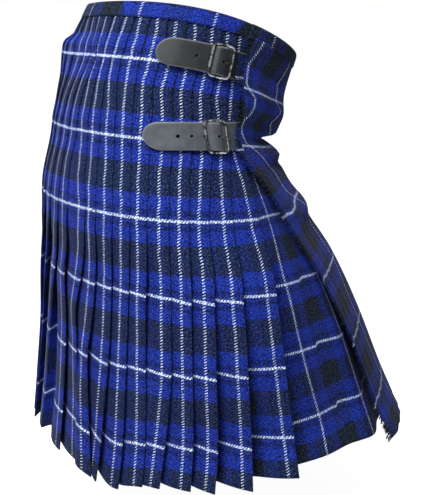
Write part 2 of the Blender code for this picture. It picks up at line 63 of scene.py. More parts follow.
look = -Vector((-math.sin(CAMERA_HEADING) * math.cos(CAMERA_DOWN),
                math.cos(CAMERA_HEADING) * math.cos(CAMERA_DOWN), math.sin(CAMERA_DOWN)))
level_right = look.cross(Vector((0.0, 0.0, 1.0))).normalized()
level_up = level_right.cross(look)
right = level_right * math.cos(CAMERA_ROLL) + level_up * math.sin(CAMERA_ROLL)
up = level_up * math.cos(CAMERA_ROLL) - level_right * math.sin(CAMERA_ROLL)
camera_data = bpy.data.cameras.new("studio_camera")
camera_data.lens, camera_data.sensor_width, camera_data.sensor_fit = CAMERA_LENS, CAMERA_SENSOR, "AUTO"
camera = add_object("studio_camera", camera_data)
camera.matrix_world = Matrix.Translation(CAMERA_AT) @ Matrix((right, up, -look)).transposed().to_4x4()
bpy.context.scene.camera = camera


def soft_light(name, at, size, watts):
    """A square lamp that faces the kilt."""
    lamp = bpy.data.lights.new(name, "AREA")
    lamp.shape, lamp.size, lamp.energy = "SQUARE", size, watts
    box = add_object(name, lamp)
    box.location = at
    box.rotation_euler = (KILT_MIDDLE - Vector(at)).to_track_quat("-Z", "Y").to_euler()


soft_light("key_light", (-1.4, 1.02, 1.55), 0.9, 60.0)
soft_light("top_light", (-0.3, 0.6, 2.2), 1.4, 14.0)
soft_light("far_light", (2.2, 0.2, 0.9), 1.8, 8.0)


def feed(node, inputs):
    """Set a node's inputs to numbers or colours, or link them to other nodes' outputs."""
    for name, value in inputs.items():
        if isinstance(value, bpy.types.NodeSocket):
            node.id_data.links.new(value, node.inputs[name])
        else:
            node.inputs[name].default_value = value


def add_node(tree, kind, inputs=None, **settings):
    node = tree.nodes.new("ShaderNode" + kind)
    for setting, value in settings.items():
        setattr(node, setting, value)
    feed(node, inputs or {})
    return node


def maths(tree, operation, *values):
    return add_node(tree, "Math", dict(enumerate(values)), operation=operation).outputs[0]


def spread(tree, value, low, high, to_low=0.0, to_high=1.0, shape="LINEAR"):
    """Stretch a value from one range to another, and hold it inside that."""
    ends = {"Value": value, "From Min": low, "From Max": high, "To Min": to_low, "To Max": to_high}
    return add_node(tree, "MapRange", ends, interpolation_type=shape).outputs["Result"]


# The surround looks white to the camera. It lights the cloth dimly, and mostly from above the back.
world = bpy.data.worlds.new("studio_air")
world.use_nodes = True
air = world.node_tree
towards = add_node(air, "TexCoord").outputs["Generated"]
facing = add_node(air, "VectorMath", {0: towards, 1: (-0.35, 0.72, 0.6)}, operation="DOT_PRODUCT")
dim = spread(air, facing.outputs["Value"], -1.0, 1.0, 0.06, 0.4)
seen = add_node(air, "LightPath").outputs["Is Camera Ray"]
feed(air.nodes["Background"], {"Color": WHITE, "Strength": spread(air, seen, 0.0, 1.0, dim, 1.0)})
bpy.context.scene.world = world
bpy.context.scene.view_settings.view_transform = "Standard"


def mesh_body(name, points, faces, lengths=None, smooth=True):
    """A mesh object. Lengths, a pair for each point, become its texture map."""
    mesh = bpy.data.meshes.new(name)
    mesh.from_pydata(points, [], faces)
    if lengths is not None:
        corners = np.empty(len(mesh.loops), np.int32)
        mesh.loops.foreach_get("vertex_index", corners)
        mesh.uv_layers.new(name="thread")
        mesh.uv_layers["thread"].data.foreach_set("uv", np.asarray(lengths, np.float32)[corners].ravel())
    mesh.polygons.foreach_set("use_smooth", [smooth] * len(mesh.polygons))
    mesh.update()
    return add_object(name, mesh)


def new_material(name):
    """A material, its tree and its shader."""
    material = bpy.data.materials.new(name)
    material.use_nodes = True
    return material, material.node_tree, material.node_tree.nodes["Principled BSDF"]


corners = [(x, y, FLOOR_Z) for x, y in np.array([(-1, -1), (1, -1), (1, 1), (-1, 1)]) * FLOOR_HALF]
floor = mesh_body("studio_floor", corners, [(0, 1, 2, 3)], smooth=False)
floor_paint, tree, shader = new_material("studio_floor")
seen = add_node(tree, "LightPath").outputs["Is Camera Ray"]
feed(shader, {"Base Color": (0.55, 0.55, 0.55, 1.0), "Roughness": 0.8, "Emission Color": WHITE,
              "Emission Strength": maths(tree, "MULTIPLY", seen, 0.9)})
floor.data.materials.append(floor_paint)


# ---- Pleated back --------------------------------------------------------------------------------
# The long middle run of the cloth, folded into knife pleats that turn towards the wearer's right.
# It is wool twill in a blue tartan, pressed, stitched down flat over the hips and loose below, and
# its lower edge is the cloth's own selvedge.
SETT = 0.097                 # one repeat of the tartan
BAND_EDGE = 0.585            # up the cloth, where the waistband starts
CLOTH_HALF = 0.00035         # half the cloth's thickness
LAYER = 0.0014               # from one folded layer to the next, where they hang loose
PRESSED = 0.62               # the share of that where they are stitched down
STRIPE_TO_EDGE = 0.012       # the pale stripe lies this far behind each folded edge
PLEAT_FACE = 0.0605          # from the hidden inner fold to the folded edge
FELL_END, FREE_BELOW = 0.34, 0.255       # stitched down above the first, loose below the second
FELL_LAP = 0.003             # the return that is modelled where it is stitched down
LEAST_OPENING = 5.0          # between a pleat's face and its return, in degrees
LEAST_BULGE = 0.001          # of a pleat's face
FOLD_FROM, FOLD_TO = -0.0004, 0.0014     # along the cloth round a folded edge

# The kilt's outside, a stack of ovals: up the cloth, half width, half depth, middle in Y, Z, the
# rise per metre towards the back, and the dip at front and back.
KILT_ROWS = np.array([
    (0.0000, 0.266, 0.267, -0.012, -0.557, 0.000, -0.005),
    (0.0475, 0.255, 0.254, -0.007, -0.510, 0.002, -0.006),
    (0.1445, 0.248, 0.230, 0.003, -0.416, 0.017, -0.005),
    (0.2415, 0.233, 0.207, 0.019, -0.323, 0.042, -0.004),
    (0.3385, 0.209, 0.178, 0.038, -0.234, 0.095, -0.002),
    (0.4355, 0.182, 0.152, 0.042, -0.147, 0.180, 0.004),
    (0.5325, 0.167, 0.149, 0.026, -0.062, 0.268, 0.009),
    (0.6050, 0.159, 0.143, 0.000, 0.000, 0.310, 0.012),
])
# Each pleat's pale stripe as an angle, from the right hip to the middle of the back, by height up the
# cloth. The pleats are drawn together at the waist and stray a little as they fall.
STRIPE_HEIGHTS = (0.0, 0.0475, 0.1445, 0.193, 0.2415, 0.29, 0.3385, 0.387, 0.4355, 0.47, 0.5, 0.5325,
                  0.56, 0.595)
PLEAT_STRIPES = [
    (94.6, 95.7, 96.8, 98.4, 100.8, 104.8, 107.8, 109.3, 108.0, 106.3, 105.8, 105.3, 104.8, 102.5),
    (81.0, 82.4, 84.0, 85.9, 88.0, 91.8, 95.2, 98.0, 100.9, 100.2, 98.2, 98.8, 98.2, 95.4),
    (71.2, 73.1, 74.8, 76.6, 78.8, 82.0, 85.0, 88.2, 91.4, 91.2, 90.1, 90.4, 90.3, 87.5),
    (64.8, 66.4, 68.0, 69.5, 71.6, 74.3, 77.1, 79.2, 81.6, 82.0, 80.9, 81.7, 82.0, 79.2),
    (56.4, 58.4, 61.6, 63.0, 64.9, 67.0, 69.3, 70.5, 72.8, 73.2, 71.9, 73.4, 72.9, 70.2),
    (51.2, 52.4, 53.1, 54.6, 56.5, 58.9, 60.7, 61.5, 62.9, 63.8, 62.8, 64.1, 64.0, 61.0),
    (43.7, 45.2, 46.2, 47.8, 49.8, 52.0, 54.0, 53.8, 54.3, 55.0, 54.6, 54.9, 54.9, 52.2),
    (36.5, 38.0, 39.6, 41.2, 42.8, 44.7, 46.5, 45.8, 45.9, 46.9, 45.5, 45.8, 46.2, 45.3),
    (34.5, 33.6, 31.5, 33.5, 35.7, 37.7, 38.7, 37.6, 38.0, 38.8, 39.2, 40.1, 39.8, 37.5),
    (26.8, 26.2, 26.2, 25.6, 28.8, 32.2, 33.5, 30.8, 30.8, 32.2, 33.4, 35.0, 34.0, 30.8),
    (18.0, 18.2, 19.0, 19.6, 19.6, 22.3, 22.7, 21.0, 23.2, 24.8, 27.9, 30.8, 29.0, 25.0),
    (0.0, 1.0, 2.5, 6.0, 10.0, 14.0, 16.0, 14.5, 16.8, 18.7, 22.5, 27.0, 24.5, 19.0),
    (-9.0, -8.0, -6.0, -3.0, 1.5, 6.0, 8.0, 7.5, 9.2, 12.2, 17.5, 22.0, 19.0, 12.5),
]
# How each of those pleats hangs, in millimetres at four heights: how far its folded edge stands out,
# how far that edge drops, how deep the valley beyond it is, and how far its face bulges.
HANG_HEIGHTS = (0.0, 0.0475, 0.1445, 0.2415)
PLEAT_HANG = [
    ((3, 3, 6, 9), (1, 1, 1, 2), (31, 32, 32, 30), (2, 2, 2, 2)),
    ((11, 11, 15, 15), (3, 3, 3, 4), (34, 34, 28, 20), (2, 2, 2, 2)),
    ((11, 11, 15, 15), (3, 3, 3, 4), (34, 34, 30, 18), (2, 2, 2, 2)),
    ((7, 7, 12, 13), (2, 2, 2, 4), (26, 26, 16, 14), (3, 3, 2, 2)),
    ((6, 6, 9, 5), (2, 2, 2, 1), (22, 22, 14, 6), (3, 3, 2, 2)),
    ((4, 4, 2, 5), (2, 2, 1, 0), (7, 7, 6, 5), (2, 2, 2, 2)),
    ((4, 4, 0, 0), (2, 2, 0, 0), (7, 7, 5, 5), (2, 2, 2, 2)),
    ((6, 6, 1, -2), (2, 2, 1, 0), (6, 6, 5, 5), (2, 2, 2, 2)),
    ((6, 6, 3, -2), (1, 1, 0, 0), (6, 6, 5, 5), (10, 9, 3, 2)),
    ((-3, -3, 2, -1), (0, 0, 0, 0), (14, 14, 6, 6), (1, 1, 1, 2)),
    ((-2, -2, 0, 0), (0, 0, 0, 0), (14, 14, 14, 10), (3, 3, 3, 2)),
    ((-4, -4, -3, -3), (1, 1, 1, 1), (16, 16, 14, 10), (3, 3, 3, 2)),
    ((3, 3, 2, 0), (1, 1, 1, 1), (18, 18, 16, 12), (3, 3, 3, 2)),
]
SEEN_PLEATS = len(PLEAT_STRIPES)
# The other twelve, on round to the left hip, keep an even pitch and stray a little at the hem.
HIDDEN_PLEATS = 12
LAST_STRIPE = (-103.0, -102.7, -101.9, -100.0, -97.9, -94.6, -91.9, -91.6, -91.4, -92.8, -94.2, -95.6,
               -96.9, -98.4)
for number in range(1, HIDDEN_PLEATS + 1):
    share = number / HIDDEN_PLEATS
    stray = 1.2 * math.sin(2.4 * number) * (number < HIDDEN_PLEATS)
    PLEAT_STRIPES.append(tuple(
        a + (b - a) * share + stray * max(0.0, 1.0 - h / 0.34)
        for a, b, h in zip(PLEAT_STRIPES[SEEN_PLEATS - 1], LAST_STRIPE, STRIPE_HEIGHTS)))
    out, deep = 5.0 * math.sin(1.9 * number) + 1.0, 18.0 + 8.0 * math.sin(2.3 * number + 1.0)
    PLEAT_HANG.append(((out, out, 0.8 * out, 0.4 * out), (2, 2, 1.5, 1),
                       (deep, deep, 0.9 * deep, 0.6 * deep), (3, 3, 3, 2)))


def ease(share):
    share = np.clip(share, 0.0, 1.0)
    return share * share * (3.0 - 2.0 * share)


def curve(at, values, slopes, wanted):
    """Read a smooth curve that has given values and slopes at some places, at any others."""
    low = np.clip(np.searchsorted(at, wanted) - 1, 0, len(at) - 2)
    span = np.diff(at)[low][..., None]
    share = (wanted - at[low])[..., None] / span
    return ((1 + 2 * share) * (1 - share) ** 2 * values[low] + share * (1 - share) ** 2 * span * slopes[low]
            + share * share * (3 - 2 * share) * values[low + 1]
            + share * share * (share - 1) * span * slopes[low + 1])


def through(table, height):
    """Read a table whose first column is the height, smoothly and with no overshoot."""
    table, height = np.asarray(table, float), np.asarray(height, float)
    at, values = table[:, 0], table[:, 1:]
    steps = np.diff(values, axis=0) / np.diff(at)[:, None]
    slopes = np.zeros_like(values)
    same = steps[:-1] * steps[1:] > 0
    safe = np.where(same, steps[:-1] + steps[1:], 1.0)
    slopes[1:-1] = np.where(same, 2.0 * steps[:-1] * steps[1:] / safe, 0.0)
    slopes[0], slopes[-1] = steps[0], steps[-1]
    return curve(at, values, slopes, height)


# At the back left the cloth stands in from the ovals near the waist and out from them at the hips.
BACK_LEAN_AT, BACK_LEAN_WIDE = -12.0, 32.0
BACK_LEAN = [(-0.01, 0.0), (0.31, 0.0), (0.37, 0.005), (0.43, 0.003), (0.47, -0.002), (0.5, -0.003),
             (0.525, 0.0), (0.546, 0.002), (0.562, -0.007), (0.62, -0.009)]


def on_kilt(angle, height, out=0.0):
    """Points on the kilt's outside by angle and height up the cloth, moved out by a distance."""
    near = np.exp(-((np.asarray(angle) - BACK_LEAN_AT) / BACK_LEAN_WIDE) ** 2)
    lean = through(BACK_LEAN, height)[..., 0] * near
    angle, height, out = np.broadcast_arrays(np.radians(angle), np.asarray(height, float), out + lean)
    wide, deep, middle, z, tilt, saddle = np.moveaxis(through(KILT_ROWS, height), -1, 0)
    normal_x, normal_y = -np.sin(angle) / wide, np.cos(angle) / deep
    long = np.hypot(normal_x, normal_y)
    back = deep * np.cos(angle) + out * normal_y / long
    return np.stack([-wide * np.sin(angle) + out * normal_x / long, middle + back,
                     z + tilt * back - saddle * np.cos(2 * angle)], -1)


# The loose pleats behind the hip hang a little lower than the rest: how much, by height.
HIP_DIP_AT, HIP_DIP_WIDE = 43.5, 7.5
HIP_DIP = [(-0.01, 0.015), (0.0475, 0.009), (0.1445, 0.003), (0.2415, 0.0), (0.615, 0.0)]


def lifted(plan, height):
    """Put plan points of one level back on its leaning oval."""
    wide, deep, middle, z, tilt, saddle = np.moveaxis(through(KILT_ROWS, height), -1, 0)
    back = plan[..., 1] - middle
    turn = np.arctan2(-plan[..., 0] / wide, back / deep)
    near = np.exp(-((np.degrees(turn) - HIP_DIP_AT) / HIP_DIP_WIDE) ** 2)
    dip = through(HIP_DIP, height)[..., 0] * near
    return np.concatenate([plan, (z + tilt * back - saddle * np.cos(2 * turn) - dip)[..., None]], -1)


def degrees_for(length, angle, height):
    """The turn that covers a length round the kilt near an angle."""
    return length / np.linalg.norm(on_kilt(angle + 0.5, height) - on_kilt(angle - 0.5, height), axis=-1)


def turned(direction, degrees):
    c, s = math.cos(math.radians(degrees)), math.sin(math.radians(degrees))
    return np.array([direction[0] * c - direction[1] * s, direction[0] * s + direction[1] * c])


def unit(vector):
    return vector / np.linalg.norm(vector)


STRIPE_TABLE = np.column_stack([STRIPE_HEIGHTS, np.array(PLEAT_STRIPES).T])
STILL = np.zeros((len(PLEAT_HANG) * 4, 2))  # stitched down, nothing hangs or gapes
HANG_TABLE = np.column_stack([HANG_HEIGHTS + (0.3385, 0.605), np.hstack([
    np.reshape(PLEAT_HANG, (-1, 4)) / 1000, STILL]).T])


def plan_of(angle, height, out=0.0):
    return on_kilt(angle, height, out)[:2]


def valley_back(gap, deep):
    """How far back under its pleat an inner fold lies, and how long the return is."""
    back = (SETT - gap) / 2
    for _ in range(8):
        face = (SETT + (gap * gap + 2 * gap * back) / SETT) / 2
        back = math.sqrt(max(face * face - deep * deep, 0.0)) - gap
    return back, SETT - face


def pleat_run(face_start, edge, next_edge, height, last_u, hang, steps):
    """One pleat's plan: its face, round the folded edge, its return and the inner fold behind.

    Gives the points, the distance along the cloth and the droop at each, and where the next face starts."""
    face_steps, return_steps = steps
    _, sag, deep, bulge = hang
    back_along_face = unit(face_start - edge)
    gap = np.linalg.norm(next_edge - edge)
    ahead = (next_edge - edge) / gap
    back, reach = valley_back(gap, deep)
    open_return = turned(ahead, 90.0) * deep - ahead * back
    cross = back_along_face[0] * open_return[1] - back_along_face[1] * open_return[0]
    opening = max(-math.degrees(math.atan2(cross, back_along_face @ open_return)), LEAST_OPENING)
    loose = ease((FELL_END - height) / (FELL_END - FREE_BELOW))
    opening = LEAST_OPENING + (opening - LEAST_OPENING) * loose
    back_along_return = turned(back_along_face, -opening)
    across = turned(back_along_face, -opening / 2 - 90.0)
    outward = turned(back_along_face, -opening / 2 + 180.0)
    layer = LAYER * (PRESSED + (1 - PRESSED) * loose)
    under_edge = edge + across * layer
    inner = under_edge + back_along_return * (FELL_LAP + (reach - FELL_LAP) * loose)
    middle = unit(unit(next_edge - inner) - back_along_return)
    under_inner = inner + turned(middle, 90.0) * layer

    length = np.linalg.norm(edge - face_start)
    shares = np.linspace(0.0, 1.0, face_steps + 1)[1:-1] ** 0.8
    bow = turned(back_along_face, 90.0) * (LEAST_BULGE + bulge) * length / PLEAT_FACE
    face = face_start + np.outer(shares, edge - face_start) + np.outer(np.sin(np.pi * shares ** 1.3), bow)
    face_u = last_u - length * (1 - shares)
    turns = np.linspace(0.0, np.pi, 5)
    fold = edge + across * layer / 2 + layer / 2 * (np.outer(-np.cos(turns), across)
                                                    + np.outer(np.sin(turns), outward))
    fold_u = last_u + np.linspace(FOLD_FROM, FOLD_TO, 5)
    back_shares = np.linspace(0.0, 1.0, return_steps + 1)[1:-1]
    home = under_edge + np.outer(back_shares, inner - under_edge)
    home_u = last_u + FOLD_TO + back_shares * np.linalg.norm(inner - under_edge)
    ends = np.array([inner, under_inner])
    ends_u = np.array([home_u[-1] + 0.002, last_u + SETT - np.linalg.norm(next_edge - under_inner)])
    droop = sag * np.concatenate([shares ** 2, np.ones(5), (1 - back_shares) ** 2, [0.0, 0.0]])
    return (np.vstack([face, fold, home, ends]), np.concatenate([face_u, fold_u, home_u, ends_u]), droop,
            under_inner)


# Where they are stitched down, the stripes wander a little, as hand-laid pleats do.
WANDER, WANDER_RUN = 0.22, 0.08
SEEN_STEPS, HIDDEN_STEPS = (11, 4), (6, 3)  # mesh steps over a pleat's face and its return


def pleat_level(height):
    """The whole pleated back at one height, from the left hip to the last inner fold."""
    stripes = through(STRIPE_TABLE, height)
    held = ease((height - FREE_BELOW) / WANDER_RUN)
    number = np.arange(len(stripes))
    waves = np.sin(height * 190.0 + 2.1 * number) * np.sin(height * 61.0 + 1.3 * number)
    stripes = stripes + held * WANDER * waves
    hangs = through(HANG_TABLE, height).reshape(-1, 4)
    edges = stripes + degrees_for(STRIPE_TO_EDGE, stripes, height)
    seam = stripes[-1] - degrees_for(PLEAT_FACE - STRIPE_TO_EDGE, stripes[-1], height)
    points = [on_kilt(np.linspace(seam, edges[-1], 6)[:3], height)[:, :2]]
    last_edge = plan_of(edges[-1], height, hangs[-1][0])
    along = [SETT / 2 + STRIPE_TO_EDGE - np.linalg.norm(points[0] - last_edge, axis=1)]
    droops = [np.zeros(3)]
    start, u = points[0][-1], SETT / 2 + STRIPE_TO_EDGE
    for pleat in reversed(range(len(stripes))):
        if pleat:
            ahead = plan_of(edges[pleat - 1], height, hangs[pleat - 1][0])
        else:
            apart = through(LAST_OPEN, height)[0]
            ahead = plan_of(edges[0] + degrees_for(apart, edges[0], height), height)
        steps = SEEN_STEPS if pleat < SEEN_PLEATS else HIDDEN_STEPS
        here = plan_of(edges[pleat], height, hangs[pleat][0])
        run, run_u, droop, start = pleat_run(start, here, ahead, height, u, hangs[pleat], steps)
        points.append(run)
        along.append(run_u)
        droops.append(droop)
        u += SETT
    return np.vstack(points), np.concatenate(along), np.concatenate(droops)


# How far the last pleat's free edge stands clear of what follows it, by height.
LAST_OPEN = [(0.0, 0.07), (0.0475, 0.07), (0.1445, 0.066), (0.2415, 0.056), (0.3385, 0.03),
             (0.4355, 0.025), (0.605, 0.025)]
HEM = -0.006                 # up the cloth from the lowest oval
UNDER_BAND = 0.004           # how far the cloth reaches up inside the waistband
FINE_BELOW = 0.36            # the mesh's rows are closer below this
LEVELS = np.concatenate([np.linspace(HEM, FINE_BELOW, 73),
                         np.linspace(FINE_BELOW, BAND_EDGE + UNDER_BAND, 42)[1:]])


def both_sides(line, height):
    """The cloth's outer and inner points from its plan line, which runs back to front by the right hip."""
    run = np.gradient(line, axis=0)
    run /= np.linalg.norm(run, axis=1)[:, None]
    normals = np.stack([run[:, 1], -run[:, 0]], -1) * CLOTH_HALF
    return lifted(np.stack([line + normals, line - normals]), height)


def cloth_body(name, sides, u, v):
    """A closed thin body from its outer and inner points, with the cloth's own lengths as texture map."""
    rows, columns = np.shape(sides)[1:3]
    index = np.arange(rows * columns).reshape(rows, columns)
    other = index + rows * columns
    rim = np.concatenate([index[0, :], index[1:, -1], index[-1, -2::-1], index[-2:0:-1, 0]])
    ahead = np.roll(rim, -1)
    faces = np.concatenate([np.stack(corners, -1).reshape(-1, 4) for corners in (
        (index[:-1, :-1], index[:-1, 1:], index[1:, 1:], index[1:, :-1]),
        (other[:-1, :-1], other[1:, :-1], other[1:, 1:], other[:-1, 1:]),
        (rim, rim + rows * columns, ahead + rows * columns, ahead))])
    lengths = np.stack(np.broadcast_arrays(u, v, index)[:2], -1)
    return mesh_body(name, np.reshape(sides, (-1, 3)).tolist(), faces.tolist(),
                     np.tile(lengths.reshape(-1, 2), (2, 1)))


sides, along = [], []
for height in LEVELS:
    line, u, droop = pleat_level(height)
    sides.append(both_sides(line, height) - np.outer(droop, (0.0, 0.0, 1.0)))
    along.append(u)
pleats = cloth_body("pleats", np.swapaxes(sides, 0, 1), along, LEVELS[:, None])


def node_group(name, inputs, outputs):
    """An empty shader group with named sockets, given as (name, kind, value)."""
    group = bpy.data.node_groups.new(name, "ShaderNodeTree")
    for socket, kind, value in inputs:
        made = group.interface.new_socket(socket, in_out="INPUT", socket_type="NodeSocket" + kind)
        if value is not None:
            made.default_value = value
    for socket, kind in outputs:
        group.interface.new_socket(socket, in_out="OUTPUT", socket_type="NodeSocket" + kind)
    return group, group.nodes.new("NodeGroupInput"), group.nodes.new("NodeGroupOutput")


def noise(tree, place, scale, detail):
    return add_node(tree, "TexNoise", {"Vector": place, "Scale": scale, "Detail": detail}).outputs["Fac"]


def zigzag(tree, value):
    """Falls from a half to nothing and rises again as the value grows by one."""
    return maths(tree, "ABSOLUTE", maths(tree, "SUBTRACT", maths(tree, "FRACT", value), 0.5))


def colour_mix(tree, share, first, second, blend="MIX"):
    ends = {"Factor": share, "A": first, "B": second}
    return add_node(tree, "Mix", ends, data_type="RGBA", blend_type=blend).outputs["Result"]


def bump(tree, height, strength, distance):
    ends = {"Height": height, "Strength": strength, "Distance": distance}
    return add_node(tree, "Bump", ends).outputs["Normal"]


def rgb(*screen):
    """A colour given as it looks on a screen, 0 to 255, in the numbers that a shader mixes."""
    return tuple(((c / 255 + 0.055) / 1.055) ** 2.4 if c > 10 else c / 3294.6 for c in screen) + (1.0,)


# The order of the yarns in half a repeat, from the white line out: how far each runs, and its colour.
HALF_SETT = (
    (0.00175, rgb(205, 220, 252)),  # white
    (0.0068, rgb(25, 44, 122)),     # blue
    (0.0126, rgb(12, 29, 94)),      # ink
    (0.0304, rgb(22, 45, 146)),     # royal
    (0.0485, rgb(20, 30, 43)),      # charcoal
)
sett_group, enter, leave = node_group("sett_order", [("Along cloth", "Float", 0.0)], [("Yarn", "Color")])
repeats = maths(sett_group, "DIVIDE", enter.outputs["Along cloth"], SETT)
from_white = maths(sett_group, "MULTIPLY", zigzag(sett_group, repeats), 2.0)
ramp = add_node(sett_group, "ValToRGB", {"Fac": from_white})
stops = ramp.color_ramp.elements
stops[0].position, stops[0].color = 0.0, HALF_SETT[0][1]
stops[1].position, stops[1].color = 1.0, HALF_SETT[-1][1]
BLUR = 0.0004  # the change from one yarn to the next
for (edge, before), (_, after) in zip(HALF_SETT, HALF_SETT[1:]):
    for at, colour in ((edge - BLUR, before), (edge + BLUR, after)):
        stops.new(at / (SETT / 2)).color = colour
feed(leave, {"Yarn": ramp.outputs["Color"]})

# Twill: each weft yarn passes over two warp yarns and under two, one yarn further along each time,
# so that fine diagonal ribs climb to the right. They climb a little flatter inside each white line.
RIB = 0.0037                 # from one rib to the next, along or across the cloth
WEFT_SHIFT = 0.001           # how far below each half repeat the pale cross lines lie
WHITE_HALF, WHITE_FLATTER = 0.0022, 0.35 # half the width in which they climb flatter, and how much
twill_group, enter, leave = node_group(
    "tartan_twill",
    [("Cloth lengths", "Vector", None), ("Warp share", "Float", 0.29), ("Weft only", "Float", 0.0)],
    [("Colour", "Color"), ("Ribs", "Float")])
lengths = enter.outputs["Cloth lengths"]
compute = partial(maths, twill_group)
split = add_node(twill_group, "SeparateXYZ", {0: lengths})
across, along = split.outputs[0], split.outputs[1]
yarns, climbs = [], []
for place, white_at in ((across, across), (along, compute("ADD", along, WEFT_SHIFT))):
    order = add_node(twill_group, "Group", {"Along cloth": white_at}, node_tree=sett_group)
    yarns.append(order.outputs["Yarn"])
    from_white = zigzag(twill_group, compute("DIVIDE", white_at, SETT))
    flatter = compute("MULTIPLY", compute("LESS_THAN", from_white, WHITE_HALF / SETT), WHITE_FLATTER)
    climbs.append(compute("MULTIPLY", place, compute("SUBTRACT", 1.0, flatter)))
slant = compute("DIVIDE", compute("SUBTRACT", climbs[1], climbs[0]), RIB)
slant = compute("ADD", slant, compute("MULTIPLY", noise(twill_group, lengths, 260.0, 2.0), 0.3))
wave = compute("MULTIPLY", zigzag(twill_group, slant), 2.0)
share = enter.outputs["Warp share"]
weft_over = spread(twill_group, wave, compute("SUBTRACT", share, 0.1), compute("ADD", share, 0.1),
                   shape="SMOOTHSTEP")
weft_over = compute("MAXIMUM", weft_over, enter.outputs["Weft only"])
woven = colour_mix(twill_group, weft_over, yarns[0], yarns[1])
# The yarns are uneven in thickness and shade, and pale hairs lie over them.
fuzz = noise(twill_group, lengths, 470.0, 1.0)
uneven = compute("ADD", compute("MULTIPLY", fuzz, 0.5),
                 compute("MULTIPLY", noise(twill_group, lengths, 340.0, 1.0), 0.5))
tone = spread(twill_group, uneven, 0.32, 0.68, 0.05, 1.88)
grey = add_node(twill_group, "CombineColor", {0: tone, 1: tone, 2: tone}).outputs["Color"]
hairy = spread(twill_group, noise(twill_group, lengths, 520.0, 1.0), 0.54, 0.76, 0.0, 0.3)
toned = colour_mix(twill_group, 1.0, woven, grey, "MULTIPLY")
feed(leave, {"Colour": colour_mix(twill_group, hairy, toned, rgb(128, 138, 178)),
             "Ribs": compute("ADD", compute("MULTIPLY", wave, 0.7), compute("MULTIPLY", fuzz, 0.5))})


def tartan_cloth(name, warp_share=0.29, weft_only=0.0):
    """Wool twill: matt, slightly hairy, and ribbed on the diagonal."""
    material, tree, shader = new_material(name)
    lengths = add_node(tree, "UVMap", uv_map="thread").outputs["UV"]
    ends = {"Cloth lengths": lengths, "Warp share": warp_share, "Weft only": weft_only}
    twill = add_node(tree, "Group", ends, node_tree=twill_group)
    feed(shader, {"Base Color": twill.outputs["Colour"], "Roughness": 0.85, "Specular IOR Level": 0.06,
                  "Sheen Weight": 0.04, "Sheen Roughness": 0.5,
                  "Normal": bump(tree, twill.outputs["Ribs"], 0.5, 0.0003)})
    return material


pleats.data.materials.append(tartan_cloth("pleat_tartan", warp_share=0.31))
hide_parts("pleats_left", "pleats_right")
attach(pleats, "root")


# ---- Under-apron ---------------------------------------------------------------------------------
# The inner end of the cloth, plain and unpleated. It comes out of the last pleat's inner fold, has
# one soft crease and a ridge where it turns under the over-apron, and ends past the front.
UNDER_ROWS = [  # height; angle and mm in, of its stripe, crease and ridge; mm in, beyond
    (0.0, 112.0, 24, 121.5, 22, 131.0, 6, 16), (0.0475, 114.0, 27, 122.5, 25, 132.0, 7, 18),
    (0.1445, 113.0, 23, 119.5, 20, 130.2, 3, 16), (0.2415, 113.5, 11, 120.5, 9, 129.8, 2, 12),
    (0.3385, 119.5, 6, 124.0, 6, 131.0, 4, 7), (0.41, 118.5, 4, 122.0, 4, 130.0, 6, 10),
    (0.4355, 117.0, 4, 122.0, 6, 130.0, 11, 18), (0.453, 116.5, 5, 122.0, 8, 130.0, 18, 36),
    (0.475, 116.0, 4, 122.0, 5, 130.0, 7, 10), (0.5, 115.0, 4, 121.5, 4, 130.0, 4, 4),
    (0.605, 112.0, 4, 120.0, 4, 130.0, 4, 4),
]
UNDER_END, UNDER_COLUMNS = 241.0, 150
TUCK, TUCK_RUN = 0.0045, 0.005           # how far the crease lifts what lies beyond it, and over what run
TUCK_FADES, TUCK_FADE = 0.2, 0.12        # up the cloth, where that starts to fade, and over what run


def smooth_line(points, count):
    """A plan line through points, in even steps, and each point's place along it."""
    points = np.asarray(points)
    at = np.concatenate([[0.0], np.cumsum(np.linalg.norm(np.diff(points, axis=0), axis=1))])
    return curve(at, points, np.gradient(points, at, axis=0), np.linspace(0.0, at[-1], count)), at


sides, along, up = [], [], []
for height in LEVELS:
    *turns_in, rest_in = through(UNDER_ROWS, height)
    line, _, _ = pleat_level(height)
    knots = [line[-1] + (line[-1] - line[-2]) * 0.3]
    for angle, depth in zip(turns_in[::2], turns_in[1::2]):
        knots.append(plan_of(angle, height, -depth / 1000))
    for angle in np.linspace(turns_in[4] + 9.0, UNDER_END, 12):
        knots.append(plan_of(angle, height, -rest_in / 1000))
    line, at = smooth_line(knots, UNDER_COLUMNS)
    place = np.linspace(0.0, at[-1], UNDER_COLUMNS)
    along.append(np.interp(place, at[[1, 3, -1]], [1.5 * SETT, 2.5 * SETT, 2.5 * SETT + at[-1] - at[3]])
                 - np.maximum(at[1] - place, 0.0))
    tucked = ease((place - at[2]) / TUCK_RUN) * (1 - ease((height - TUCK_FADES) / TUCK_FADE))
    up.append(height - TUCK * tucked)
    sides.append(both_sides(line, height))
under = cloth_body("under_apron_cloth", np.swapaxes(sides, 0, 1), along, up)
under.data.materials.append(tartan_cloth("under_apron_tartan", warp_share=0.39))
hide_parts("under_apron")
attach(under, "root")


